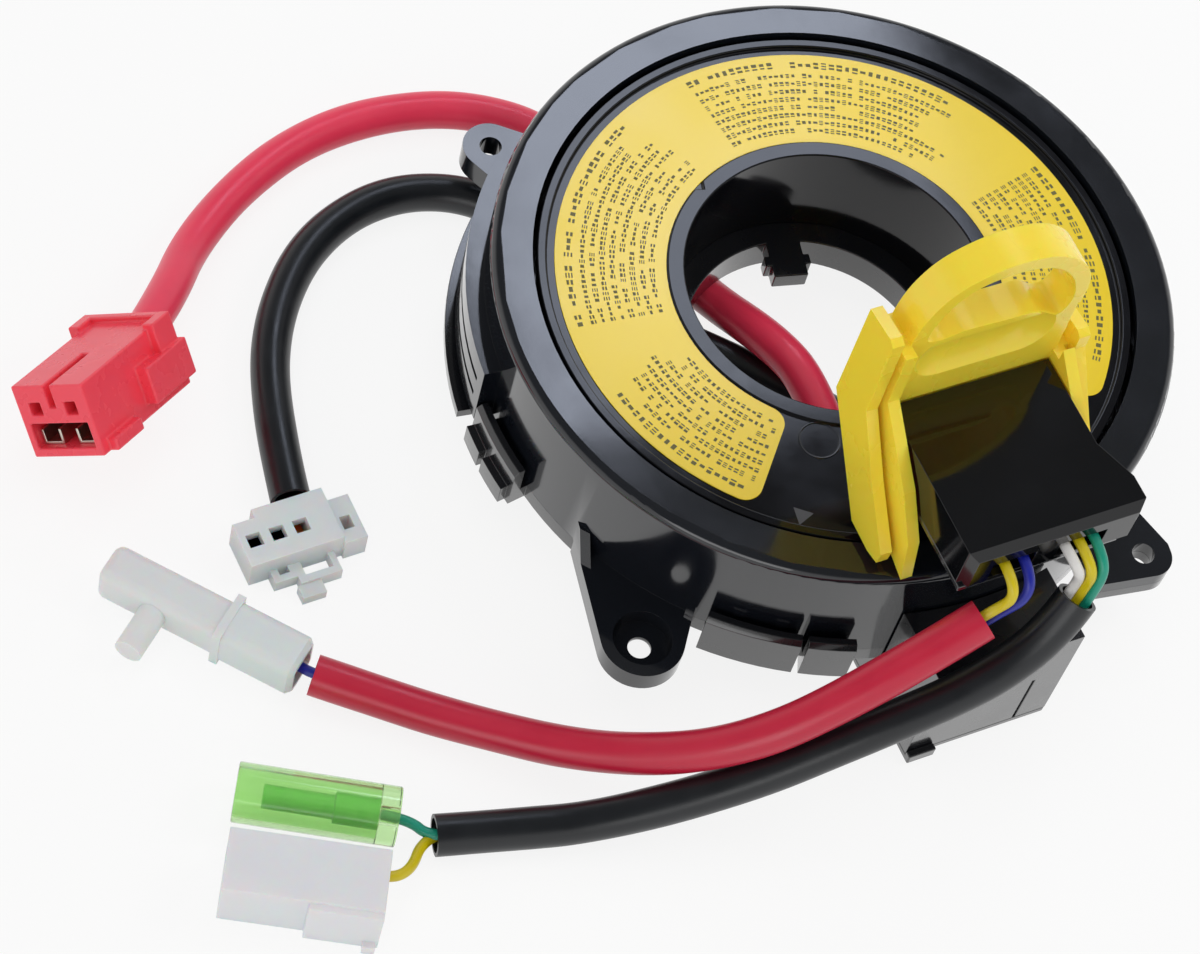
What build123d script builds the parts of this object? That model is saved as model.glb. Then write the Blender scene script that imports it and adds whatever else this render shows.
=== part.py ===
from build123d import *
import math
import os

os.makedirs("parts", exist_ok=True)

# All sizes in millimetres, angles in degrees.
# Origin: centre of the four ear holes, in the plane of the ear seats. +Z runs up the hub.

# ---- fixed housing
BAND_TOP = 25.0          # face band above the ear seats
BAND_T = 1.8
BAND_IN_R = 49.8
WALL_R = 56.5
WALL_T = 1.8
RIM_FILLET = 1.6
COVER_T = 3.3
UPSTAND_T = 2.0
UPSTAND_H = 4.0
RIM_GAP = 0.2
SIDE_GAP = 0.3           # clearance between fixed mouldings

# ---- ears
EAR_X = round(WALL_R * math.cos(math.radians(45)) + 3.05, 1)   # half spacing of the screw holes
EAR_Y = EAR_X + 5.0
EAR_HOLE_R = 1.9
EAR_BOSS_R = 4.8
SEAT_BOSS_R = 6.8        # the near ear, with its round screw seat
SEAT_R = 4.8
SEAT_FLOOR = 0.8
EAR_RIB_T = 1.4
CORNER_EAR_SPLIT = 2.3   # height where the two layers of the corner ear meet
CORNER_EAR_TOP = 4.8

# ---- rotor
ROTOR_GAP = 0.8          # slot between rotor plate and band
PLATE_FACE = BAND_TOP - 1.5   # label seat
PLATE_T = 1.5
RIDGE_W = 1.5
RIDGE_TOP = BAND_TOP - 0.7
HUB_BORE_R = 25.0
HUB_T = 1.6
HUB_BOTTOM = 4.8
LIP_W = 2.8
LIP_TOP = BAND_TOP - 1.0
BEARING_GAP = 0.05
RING_BORE_R = 21.2
RING_FLANGE_R = 29.0
RING_FLANGE_T = 1.0
AXIAL_GAP = 0.3
TAB_IN_R = 14.2
TAB_BOTTOM = 1.6
TAB_W = 6.0
TAB_AZ = 86.0

# ---- label
LABEL_T = 0.2
LABEL_EDGE = 0.1
LABEL_RIM = 1.4          # bare margin outside the label
LABEL_OPEN = 84.0
LABEL_CORNER = 3.0

# ---- connector block, in its own turned frame: w sideways, u outwards from the hub axis
BLOCK_TURN = 8.6
BLOCK_U0 = 35.5
BLOCK_U1 = 64.0
BLOCK_HALF_W = 14.0
CHEEK_W = 2.8            # the cover is wider by this in front of the right leg
CHEEK_U0 = 51.6
BLOCK_TOP = PLATE_FACE + 22.5
BLOCK_BOTTOM = PLATE_FACE + 14.1
BLOCK_WALL = 1.5
TRAY_GAP = 0.2
BASE_PLATE_T = 1.2
PEDESTAL_U1 = 45.5
PEDESTAL_HALF_W = 11.0
WIRE_Z = BLOCK_BOTTOM + 2.8
WIRE_D = 1.7
WIRE_SLOT_H = 3.6
CORNER_CHAMFER = 1.4

# ---- lock clip
CLIP_GAP = 0.3
CLIP_T = 4.9             # over both prongs of one leg
CLIP_GROOVE_W = 0.9
CLIP_GROOVE_D = 2.2
CLIP_U0 = 29.0
CLIP_U1 = BLOCK_U0 - CLIP_GAP
CLIP_BAR_TOP = BLOCK_TOP + 16.0
RIGHT_LEG_DROP = 14.0    # the right leg ends this far below the bar's top
SCOOP_R = 8.0
# the pull loop: (w, height over the bar's top)
LOOP_OUTSIDE = [(-14.6, -2.0), (-14.3, 2.0), (-13.2, 6.3), (-12.1, 8.6), (-9.7, 11.6), (-6.8, 13.4), (-3.7, 14.5),
                (-0.5, 15.0), (2.9, 14.9), (6.5, 14.1), (10.5, 11.6), (13.4, 8.3), (14.9, 4.8), (15.3, 1.5), (15.1, -1.5)]
LOOP_OPENING = [(-11.8, 0.5), (-11.4, 3.5), (-10.3, 6.4), (-8.6, 9.2), (-6.1, 11.2), (-3.0, 12.2), (0.4, 12.5),
                (3.9, 12.1), (7.7, 10.4), (11.0, 7.0), (13.0, 2.6), (13.1, -1.2), (11.7, -3.3), (9.9, -2.9), (7.9, -1.2),
                (2.0, -0.4), (-6.1, -0.2), (-10.4, -0.6)]

# ---- lead box
LEAD_BOX_U0 = 46.0
LEAD_BOX_U1 = WALL_R + 12.0
LEAD_BOX_HALF_W = 13.0
LEAD_BOX_TOP = 15.0
FLOOR = -10.0
LEAD_BOX_WALL = 1.6
LID_T = 1.4

# ---- ribbon and its carriers
RIBBON_T = 0.4
RIBBON_PITCH = 2.0
RIBBON_TURNS = 5
RIBBON_IN_R = 36.6
RIBBON_Z0 = 6.0
RIBBON_Z1 = PLATE_FACE - 3.5
CARRIER_HALF_W = 8.0
PIN_D = 1.0

# ---- leads
SLEEVE_D = 6.6
MOUTH_R = 2.7
MOUTH_DEPTH = 6.0
WIRE_ROW = WIRE_D + 0.1
WIRE_LEAD_IN = 3.6
SLEEVE_Z = FLOOR + SLEEVE_D / 2 + 0.02


def block(x0, x1, y0, y1, z0, z1):
    return Pos((x0 + x1) / 2, (y0 + y1) / 2, (z0 + z1) / 2) * Box(x1 - x0, y1 - y0, z1 - z0)


def wu_block(w0, w1, u0, u1, z0, z1):
    return block(w0, w1, -u1, -u0, z0, z1)


def disc(r, z0, z1):
    return Pos(0, 0, (z0 + z1) / 2) * Cylinder(r, z1 - z0)


def ring(r_in, r_out, z0, z1):
    return disc(r_out, z0, z1) - disc(r_in, z0, z1)


def sector(profile, a0, a1):
    face = Plane.XZ * make_face(Polyline(*profile, close=True))
    return Rot(0, 0, a0) * revolve(face, axis=Axis.Z, revolution_arc=a1 - a0)


def arc_block(r_in, r_out, z0, z1, a0, a1):
    return sector([(r_in, z0), (r_out, z0), (r_out, z1), (r_in, z1)], a0, a1)


def turned(shape):
    return Rot(0, 0, BLOCK_TURN) * shape


def turned_point(w, u, z):
    a = math.radians(BLOCK_TURN)
    return (w * math.cos(a) + u * math.sin(a), w * math.sin(a) - u * math.cos(a), z)


def save(shape, name, colour=None):
    solids = shape.solids()
    result = solids[0] if len(solids) == 1 else Compound(children=list(solids))
    export_step(result, "parts/" + name + ".step")
    return result


# ---------------------------------------------------------------- fixed housing

wall_in_r = WALL_R - WALL_T


def ear_outline(x, y, boss_r, a0, a1):
    root_r = wall_in_r + 0.4
    root = [(root_r * math.cos(math.radians(a)), root_r * math.sin(math.radians(a))) for a in (a0, a1)]
    boss = Pos(x, y) * Circle(boss_r)
    return make_hull(boss.edges() + Line(root[0], root[1]).edges())


def ribbed_ear(x, y, boss_r, top, web_top, a0, a1):
    outline = ear_outline(x, y, boss_r, a0, a1)
    angle = math.degrees(math.atan2(y, x))
    hole_r = math.hypot(x, y)
    plate = extrude(outline, top)
    skirt = extrude(outline, web_top) - extrude(offset(outline, -EAR_RIB_T), web_top)
    slope = Polyline((wall_in_r, web_top), (hole_r - boss_r, top), (hole_r + 20, top), (hole_r + 20, 40),
                     (wall_in_r, 40), close=True)
    cutter = extrude(Plane.XZ * make_face(slope), 40, both=True)
    ear = plate + (skirt - Rot(0, 0, angle) * cutter)
    ear -= disc(wall_in_r + 0.2, -1, 40)
    ear -= disc(WALL_R + SIDE_GAP, -1, COVER_T)
    return ear - Pos(x, y, top / 2) * Cylinder(EAR_HOLE_R, top + 2)


def corner_ear(z0, z1, inner_r):
    right, bottom = EAR_X + 4.8, -EAR_Y - 4.4
    outline = make_face(Polyline((EAR_X - 10, EAR_Y - 78), (right - 3, EAR_Y - 78), (right - 3, -EAR_Y + 8),
                                 (right, -EAR_Y + 1), (right, bottom), (EAR_X - 10, bottom), close=True))
    corner = outline.vertices().sort_by(lambda v: v.X - v.Y)[-1]
    plate = Pos(0, 0, z0) * extrude(fillet(corner, 4.0), z1 - z0)
    plate -= disc(inner_r, z0 - 1, z1 + 1)
    return plate - Pos(EAR_X, -EAR_Y, (z0 + z1) / 2) * Cylinder(EAR_HOLE_R, z1 - z0 + 2)


def upper_housing():
    shell = ring(BAND_IN_R, WALL_R, BAND_TOP - BAND_T, BAND_TOP)
    shell += ring(wall_in_r, WALL_R, COVER_T, BAND_TOP)
    rim = shell.edges().filter_by(GeomType.CIRCLE).group_by(Axis.Z)[-1].sort_by(SortBy.RADIUS)[-1]
    shell = fillet(rim, RIM_FILLET)
    shell += ribbed_ear(-EAR_X, EAR_Y, EAR_BOSS_R, 4.6, 12.0, 123.5, 138.5)
    shell += ribbed_ear(EAR_X, EAR_Y, EAR_BOSS_R, 4.6, 12.0, 41.5, 56.5)
    seat_ear = ribbed_ear(-EAR_X, -EAR_Y, SEAT_BOSS_R, 4.0, 8.5, -152.5, -127.0)
    shell += seat_ear - Pos(-EAR_X, -EAR_Y, SEAT_FLOOR) * extrude(Circle(SEAT_R), 10)
    shell += corner_ear(CORNER_EAR_SPLIT, CORNER_EAR_TOP, wall_in_r + 0.2) - disc(WALL_R + SIDE_GAP, 0, COVER_T)
    duct = arc_block(WALL_R - 0.3, WALL_R + 3.0, COVER_T + 0.7, 17.0, 140, 184)
    duct -= arc_block(WALL_R + 0.8, WALL_R + 4.0, 6.5, 14.5, 141.2, 156)
    for height in (8.0, 12.0):
        duct -= arc_block(WALL_R + 2.2, WALL_R + 4.0, height, height + 1.0, 158, 182)
    shell += duct
    for start in (-114.0, -121.0):
        shell += arc_block(WALL_R - 0.3, WALL_R + 0.2, 8.0, 10.0, start, start + 2.0)
    return shell


def lower_cover():
    bearing_r = HUB_BORE_R + HUB_T + BEARING_GAP
    cover = ring(bearing_r, WALL_R, 0.0, COVER_T)
    cover += ring(wall_in_r - RIM_GAP - UPSTAND_T, wall_in_r - RIM_GAP, COVER_T, COVER_T + UPSTAND_H)
    cover += ring(bearing_r, bearing_r + 2.0, COVER_T, COVER_T + 2.7)
    cover += corner_ear(0.0, CORNER_EAR_SPLIT, WALL_R - 0.2) - ring(WALL_R - 1, WALL_R + SIDE_GAP, COVER_T, 20)
    latch = [(WALL_R - 0.3, 0.0), (WALL_R + 3.2, 0.0), (WALL_R + 3.2, 8.2), (WALL_R + 2.4, 9.0),
             (WALL_R + 1.3, 9.0), (WALL_R + 1.3, COVER_T), (WALL_R - 0.3, COVER_T)]
    for a0, a1 in ((-124.5, -109.5), (-108.5, -101.0), (-175.5, -162.0), (60.0, 72.0), (5.0, 17.0)):
        cover += sector(latch, a0, a1)
    for a0, a1 in ((-175.0, -170.0), (-169.0, -163.0)):
        cover += arc_block(WALL_R + 3.0, WALL_R + 4.5, 0.0, 4.0, a0, a1)
    cover += arc_block(WALL_R - 0.3, WALL_R + 4.4, 0.0, 1.8, 142, 181)
    cover -= turned(wu_block(-CARRIER_HALF_W + 1, CARRIER_HALF_W - 1, 48.6, 51.6, -1, COVER_T + 1))
    return cover


def lead_box():
    half = LEAD_BOX_HALF_W
    shell = wu_block(-half, half, LEAD_BOX_U0, LEAD_BOX_U1, FLOOR + LID_T, 0.0)
    shell += wu_block(-half, half, WALL_R - 3, LEAD_BOX_U1, -1.0, LEAD_BOX_TOP)
    shell -= disc(WALL_R + SIDE_GAP, 0.0, LEAD_BOX_TOP + 1)
    wall = LEAD_BOX_WALL
    hollow = wu_block(-half + wall, half - wall, LEAD_BOX_U0 + 2 * wall, LEAD_BOX_U1 - wall, FLOOR - 1, -wall)
    hollow += wu_block(-half + wall, half - wall, WALL_R + SIDE_GAP + 3, LEAD_BOX_U1 - wall, -3, LEAD_BOX_TOP - wall)
    shell -= hollow
    shell -= wu_block(-CARRIER_HALF_W + 1, CARRIER_HALF_W - 1, 49.4, 50.8, -3, 1)
    shell -= wu_block(6.8, 7.3, LEAD_BOX_U1 - 0.6, LEAD_BOX_U1 + 1, FLOOR, 4.0)
    return turned(shell)


def lead_box_lid():
    half = LEAD_BOX_HALF_W
    lid = wu_block(-half, half, LEAD_BOX_U0, LEAD_BOX_U1, FLOOR, FLOOR + LID_T)
    lid += wu_block(-half, -half + 5, LEAD_BOX_U1, LEAD_BOX_U1 + 1.2, FLOOR, FLOOR + LID_T + 0.8)
    return turned(lid)


# ---------------------------------------------------------------- ribbon chamber

def outer_carrier():
    body = wu_block(-CARRIER_HALF_W, CARRIER_HALF_W, 48.2, 56.0, COVER_T + 0.02, RIBBON_Z1)
    body &= disc(wall_in_r - RIM_GAP - UPSTAND_T - 0.2, 0, 30)
    for w in pin_rows():
        body -= Pos(w, -50.1, 8) * Cylinder(PIN_D / 2, 12)
    return turned(body)


def pin_rows():
    return [-5.0, -2.5, 0.0, 2.5, 5.0]


def outer_terminals():
    pins = Compound(children=[Pos(w, -50.1, 2.6) * Cylinder(PIN_D / 2, 19.0) for w in pin_rows()])
    return turned(pins)


def inner_carrier():
    body = wu_block(-CARRIER_HALF_W, CARRIER_HALF_W, 20, 35.0, COVER_T + 4, PLATE_FACE - PLATE_T)
    body -= disc(HUB_BORE_R + HUB_T + 2.2, 0, 30)
    for w in pin_rows():
        body -= Pos(w, -33.0, 20) * Cylinder(PIN_D / 2, 12)
    return turned(body)


def inner_terminals():
    top = PLATE_FACE - PLATE_T
    rise = [Pos(w, -33.0, (14.0 + top) / 2) * Cylinder(PIN_D / 2, top - 14.0) for w in pin_rows()]
    return turned(Compound(children=rise))


def ribbon_cable():
    outline = None
    radius = RIBBON_IN_R
    centre = 0.0
    step = RIBBON_PITCH / 2
    for k in range(2 * RIBBON_TURNS):
        side = 1 if k % 2 == 0 else -1
        band = Circle(radius + RIBBON_T / 2) - Circle(radius - RIBBON_T / 2)
        half = band & (Pos(0, side * 60) * Rectangle(200, 120))
        half = Pos(centre, 0) * half
        outline = half if outline is None else outline + half
        centre += side * step / 2 * -1
        radius += step / 2
    return extrude(Pos(0, 0, RIBBON_Z0) * outline, RIBBON_Z1 - RIBBON_Z0)


# ---------------------------------------------------------------- rotor

def rotor_plate():
    rotor_r = BAND_IN_R - ROTOR_GAP
    plate = ring(HUB_BORE_R, rotor_r, PLATE_FACE - PLATE_T, PLATE_FACE)
    plate += ring(rotor_r - RIDGE_W, rotor_r, PLATE_FACE, RIDGE_TOP)
    plate += ring(HUB_BORE_R, HUB_BORE_R + LIP_W, PLATE_FACE, LIP_TOP)
    plate += ring(HUB_BORE_R, HUB_BORE_R + HUB_T, HUB_BOTTOM, PLATE_FACE)
    notch = Rot(0, 0, 128.5) * Pos(HUB_BORE_R + LIP_W, 0, LIP_TOP) * Rot(0, 0, 45) * Box(1.6, 1.6, 1.0)
    return plate - notch


def drive_ring():
    outer = HUB_BORE_R + HUB_T
    body = ring(RING_BORE_R, outer, -AXIAL_GAP, HUB_BOTTOM)
    body += ring(RING_BORE_R, RING_FLANGE_R, -AXIAL_GAP - RING_FLANGE_T, -AXIAL_GAP)
    tab = block(TAB_IN_R, RING_BORE_R + 1, -TAB_W / 2, TAB_W / 2, TAB_BOTTOM, HUB_BOTTOM)
    tab += block(TAB_IN_R + 2.2, TAB_IN_R + 4.2, -TAB_W / 2 - 1, TAB_W / 2 + 1, TAB_BOTTOM, HUB_BOTTOM)
    return body + Rot(0, 0, TAB_AZ) * tab


def face_label():
    r_in = HUB_BORE_R + LIP_W + LABEL_EDGE
    band = Circle(BAND_IN_R - ROTOR_GAP - RIDGE_W - LABEL_RIM) - Circle(r_in)
    half = LABEL_OPEN / 2
    far = 90
    wedge = Polyline((0, 0), (far * math.sin(math.radians(half)), -far * math.cos(math.radians(half))),
                     (0, -2 * far), (-far * math.sin(math.radians(half)), -far * math.cos(math.radians(half))),
                     close=True)
    outline = band - make_face(wedge)
    outline = fillet(outline.vertices(), LABEL_CORNER)
    return turned(extrude(Pos(0, 0, PLATE_FACE) * outline, LABEL_T))


tray_half_w = BLOCK_HALF_W - BLOCK_WALL - TRAY_GAP
tray_u0 = BLOCK_U0 + BLOCK_WALL + TRAY_GAP
tray_u1 = BLOCK_U1 - BLOCK_WALL - TRAY_GAP


def connector_base():
    base = wu_block(-PEDESTAL_HALF_W, PEDESTAL_HALF_W, BLOCK_U0, PEDESTAL_U1, PLATE_FACE, BLOCK_BOTTOM - BASE_PLATE_T)
    base += wu_block(-BLOCK_HALF_W, BLOCK_HALF_W, BLOCK_U0, BLOCK_U1 - 0.3, BLOCK_BOTTOM - BASE_PLATE_T, BLOCK_BOTTOM)
    base += wu_block(-tray_half_w, tray_half_w, tray_u0, tray_u1, BLOCK_BOTTOM, BLOCK_TOP - BLOCK_WALL - TRAY_GAP)
    return turned(base)


def wire_windows(u0, u1):
    z0 = WIRE_Z - WIRE_SLOT_H / 2
    left = wu_block(-9.4, -2.0, u0, u1, z0, z0 + WIRE_SLOT_H)
    right = wu_block(2.2, 10.4, u0, u1, z0, z0 + WIRE_SLOT_H)
    return left + right


def connector_cover():
    cover = wu_block(-BLOCK_HALF_W, BLOCK_HALF_W, BLOCK_U0, BLOCK_U1, BLOCK_BOTTOM, BLOCK_TOP)
    cheek = make_face(Polyline((BLOCK_HALF_W - 1, -CHEEK_U0), (BLOCK_HALF_W, -CHEEK_U0),
                               (BLOCK_HALF_W + CHEEK_W, -CHEEK_U0 - 7), (BLOCK_HALF_W + CHEEK_W, -BLOCK_U1),
                               (BLOCK_HALF_W - 1, -BLOCK_U1), close=True))
    cover += Pos(0, 0, BLOCK_BOTTOM) * extrude(cheek, BLOCK_TOP - BLOCK_BOTTOM)
    front = cover.edges().filter_by(Axis.Z).group_by(Axis.Y)[0]
    cover = chamfer(front, CORNER_CHAMFER)
    lip = cover.edges().filter_by(Axis.X).group_by(Axis.Y)[0].sort_by(Axis.Z)[-1]
    cover = chamfer(lip, CORNER_CHAMFER)
    inner = BLOCK_HALF_W - BLOCK_WALL
    cover -= wu_block(-inner, inner, BLOCK_U0 + BLOCK_WALL, BLOCK_U1 - BLOCK_WALL, 0, BLOCK_TOP - BLOCK_WALL)
    cover -= wire_windows(BLOCK_U1 - BLOCK_WALL - 1, BLOCK_U1 + 1)
    return turned(cover)


# ---------------------------------------------------------------- lock clip

def clip_leg(side):
    inner = BLOCK_HALF_W + CLIP_GAP
    middle = inner + (CLIP_T - CLIP_GROOVE_W) / 2
    top = CLIP_BAR_TOP - (RIGHT_LEG_DROP if side > 0 else 0)
    low = BLOCK_TOP - 46.0   # the lower points are written for a block top of 46
    rear = lifted([(28.7, 43.7), (42.9, 26.8)], low)
    inner_face = [(28.9, top)] + rear + lifted([(50.6, 27.4), (54.6, 26.2), (53.0, 34.0), (47.8, 41.0),
                                                (37.2, 50.5)], low) + [(37.2, top)]
    outer_face = [(29.2, top + 3.5)] + rear + lifted([(48.5, 26.6), (51.2, 27.4), (51.4, 30.0), (44.0, 38.5),
                                                      (36.6, 48.5)], low) + [(36.6, top + 3.6), (35.4, top + 4.3)]
    core = [(28.9, top)] + rear + lifted([(49.0, 28.0), (44.5, 35.0), (35.4, 45.6)], low) + [(35.0, top)]
    leg = prism(inner_face, inner, middle)
    leg += prism(core, middle - 0.01, middle + CLIP_GROOVE_W + 0.01)
    leg += prism(outer_face, middle + CLIP_GROOVE_W, inner + CLIP_T)
    if side < 0:
        return leg
    return mirror(leg, Plane.YZ)


def lifted(points, rise):
    return [(u, z + rise) for u, z in points]


def prism(points, w0, w1):
    outline = make_face(Polyline(*[(-u, z) for u, z in points], close=True))
    return Pos(-w0, 0, 0) * extrude(Plane.YZ * outline, -(w1 - w0))


def clip_loop():
    outside = lifted(LOOP_OUTSIDE, CLIP_BAR_TOP)
    edge = Spline(*outside) + Line(outside[-1], outside[0])
    loop = make_face(edge) - make_face(Spline(*lifted(LOOP_OPENING, CLIP_BAR_TOP), periodic=True))
    arch = extrude(Plane.XZ * loop, (CLIP_U1 - CLIP_U0) / 2, both=True)
    return Pos(0, -(CLIP_U0 + CLIP_U1) / 2, 0) * arch


def lock_clip():
    half = BLOCK_HALF_W + CLIP_GAP + 0.5
    bar = wu_block(-half, half, CLIP_U0, CLIP_U1, BLOCK_TOP - 4.0, CLIP_BAR_TOP - 0.2)
    bar -= extrude(Plane.XZ * make_face(Spline(*lifted(LOOP_OPENING, CLIP_BAR_TOP), periodic=True)), 90)
    scoop = Pos(0, -CLIP_U1 - 6.2, CLIP_BAR_TOP - 5.8) * Rot(0, 90, 0) * Cylinder(SCOOP_R, 14)
    for w in (-7, 7):
        scoop += Pos(w, -CLIP_U1 - 6.2, CLIP_BAR_TOP - 5.8) * Sphere(SCOOP_R)
    clip = (bar - scoop) + clip_loop() + clip_leg(-1) + clip_leg(1)
    return turned(clip)


# ---------------------------------------------------------------- leads

def lead_path(points):
    vectors = [Vector(*p) for p in points]
    radii = []
    for before, corner, after in zip(vectors, vectors[1:], vectors[2:]):
        run = min((corner - before).length, (after - corner).length)
        turn = (corner - before).get_angle(after - corner)
        radii.append(0.45 * run / math.tan(math.radians(turn) / 2))
    return FilletPolyline(*points, radius=radii), radii


def tube(points, diameter, name=""):
    if len(points) == 2:
        path = Line(*points)
        radii = []
    else:
        path, radii = lead_path(points)
    solid = sweep(Plane(origin=path @ 0, z_dir=path % 0) * Circle(diameter / 2), path=path)
    section = math.pi * diameter ** 2 / 4
    print(name, "length", round(path.length, 2), "radii", [round(r, 1) for r in radii],
          "volume ratio", round(solid.volume / (section * path.length), 4))
    return solid


def mouth(end, inside):
    origin = Vector(*end)
    inward = (Vector(*inside) - origin).normalized()
    plane = Plane(origin=origin - inward * 1.0, z_dir=inward)
    return extrude(plane * Circle(MOUTH_R), MOUTH_DEPTH + 1.0)


def mouth_points(end, inside, count, pitch, level=False, lead=WIRE_LEAD_IN):
    # a row of wire ends in a sleeve mouth, one above the other, or side by side when level
    origin = Vector(*end)
    inward = (Vector(*inside) - origin).normalized()
    across = Vector(inward.Y, -inward.X, 0).normalized()
    row = across if level else inward.cross(across)
    spots = []
    for k in range(count):
        centre = origin + row * (pitch * (k - (count - 1) / 2))
        spots.append((tuple(centre - inward * lead), tuple(centre + inward * MOUTH_DEPTH)))
    return spots


# routes, from the fixed or turning end outwards to the connector
WHEEL_RED = [(0.6, -67.7, 31.0), (-16.6, -71.7, 22.3), (-35.5, -72.4, 10.0), (-53.4, -63.9, -2.3),
             (-73.7, -51.4, SLEEVE_Z), (-85.0, -44.8, SLEEVE_Z + 0.3), (-93.2, -40.2, SLEEVE_Z + 1.0)]
WHEEL_BLACK = [(15.8, -67.4, 32.5), (12.2, -70.0, 26.4), (2.0, -72.8, 19.6), (-14.0, -74.8, 14.5),
               (-34.7, -75.1, 3.0), (-55.6, -73.4, -5.3), (-70.0, -71.4, SLEEVE_Z), (-81.0, -70.2, SLEEVE_Z)]
COLUMN_RED = [turned_point(-1.0, 46.0, SLEEVE_Z), turned_point(-1.0, 24.5, SLEEVE_Z), (-0.8, -5.4, 1.0),
              (-4.2, 3.6, 1.0), (-12.0, 21.5, SLEEVE_Z), (-20.5, 40.0, SLEEVE_Z), (-28.5, 57.5, SLEEVE_Z),
              (-42.0, 64.8, SLEEVE_Z), (-58.0, 65.6, SLEEVE_Z), (-72.5, 61.6, SLEEVE_Z), (-85.0, 53.4, SLEEVE_Z),
              (-95.2, 43.0, -6.3), (-101.7, 30.9, -2.0), (-107.4, 22.9, 0.6)]
COLUMN_BLACK = [turned_point(9.0, 46.0, SLEEVE_Z), turned_point(9.0, 36.0, SLEEVE_Z), (13.2, -21.5, SLEEVE_Z),
                (7.0, -9.5, SLEEVE_Z), (-7.5, 4.0, SLEEVE_Z), (-21.0, 14.5, SLEEVE_Z), (-31.0, 30.0, SLEEVE_Z),
                (-42.5, 45.8, SLEEVE_Z), (-59.0, 49.4, SLEEVE_Z), (-74.6, 41.8, SLEEVE_Z), (-84.8, 26.8, SLEEVE_Z),
                (-89.0, 9.5, SLEEVE_Z), (-89.4, -8.0, SLEEVE_Z)]


def column_red_sleeve():
    return tube(COLUMN_RED, SLEEVE_D, "column red")


def column_black_sleeve():
    return tube(COLUMN_BLACK, SLEEVE_D, "column black")


def wheel_red_sleeve():
    body = tube(WHEEL_RED, SLEEVE_D, "wheel red")
    return body - mouth(WHEEL_RED[0], WHEEL_RED[1]) - mouth(WHEEL_RED[-1], WHEEL_RED[-2])


def wheel_black_sleeve():
    body = tube(WHEEL_BLACK, SLEEVE_D, "wheel black")
    return body - mouth(WHEEL_BLACK[0], WHEEL_BLACK[1]) - mouth(WHEEL_BLACK[-1], WHEEL_BLACK[-2])


def wire(w, bulge, spot, name):
    start = turned_point(w, tray_u1, WIRE_Z)
    out = turned_point(w, BLOCK_U1 + bulge, WIRE_Z)
    return tube([start, out, spot[0], spot[1]], WIRE_D, name)


def block_wires():
    red = mouth_points(WHEEL_RED[0], WHEEL_RED[1], 2, 2.4)
    black = mouth_points(WHEEL_BLACK[0], WHEEL_BLACK[1], 3, WIRE_ROW)
    return {
        "wire_yellow_left": wire(-6.7, 3.7, red[0], "yellow left"),
        "wire_blue": wire(-3.4, 5.0, red[1], "blue"),
        "wire_white": wire(3.7, 5.4, black[0], "white"),
        "wire_yellow_right": wire(6.2, 4.9, black[1], "yellow right"),
        "wire_green": wire(8.8, 4.4, black[2], "green"),
    }


# ---------------------------------------------------------------- lead connectors

RED_START = 4.0
RED_LENGTH = 29.2
RED_HALF_W = 7.0
RED_H = 12.6
RED_CAVITIES = (-3.5, 3.5)


def red_connector():
    body = block(RED_START, RED_LENGTH, -RED_HALF_W, RED_HALF_W, 0.02, RED_H)
    for side in (-1, 1):
        edge = side * (RED_HALF_W + 0.5)
        body += block(5.4, 10.4, edge - 1.1, edge + 1.1, RED_H - 4.2, RED_H + 1.0)
    body += block(5.4, 7.0, -RED_HALF_W, RED_HALF_W, RED_H - 1, RED_H + 1.0)
    body -= block(18.0, RED_LENGTH + 1, -0.6, 0.6, RED_H - 4.0, RED_H + 2)
    body += block(4.6, 16.0, RED_HALF_W, RED_HALF_W + 2.4, 2.2, 8.6)
    body += block(20.0, 27.4, RED_HALF_W, RED_HALF_W + 1.6, 0.02, 2.2)
    body -= block(12.0, RED_LENGTH + 1, -5.7, 5.7, 1.5, 5.9)
    terminals = []
    for y in RED_CAVITIES:
        body -= block(21.0, RED_LENGTH + 1, y - 1.1, y + 1.1, 7.4, 9.6)
        blade = block(12.0, 27.6, y - 2.0, y + 2.0, 1.5, 4.2)
        blade -= block(14.0, 30.0, y - 1.5, y + 1.5, 2.0, 5.0)
        terminals.append(blade)
    return body, Compound(children=terminals)


def three_way():
    body = block(0, 9.8, -11.3, 4.8, 0.02, 6.0)
    body -= block(-1, 1.6, -12, -7.4, -1, 7)
    body += block(2.0, 10.4, 4.8, 8.7, 0.02, 5.0)
    body -= block(5.6, 8.0, 5.6, 7.4, -1, 7.0)
    body += block(9.8, 13.6, -4.0, 3.2, 0.02, 2.6)
    body -= block(9.8, 12.3, -2.7, 2.1, -1, 3.4)
    body += block(9.8, 12.2, -7.9, -3.6, 0.02, 2.6)
    body -= block(9.8, 11.0, -6.6, -4.9, -1, 3.4)
    body += block(13.6, 16.0, -4.6, -0.5, 0.02, 2.0)
    terminals = []
    for y in (-8.9, -4.9, -0.9):
        body -= block(2.4, 9.0, y - 1.3, y + 1.3, 1.4, 4.2)
        body -= block(4.2, 6.6, y - 1.2, y + 1.2, 4.0, 7.0)
        terminals.append(block(2.4, 7.6, y - 1.0, y + 1.0, 1.4, 2.6))
    return body, Compound(children=terminals)


CLEAR_LENGTH = 34.8
CLEAR_H = 8.2


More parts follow.
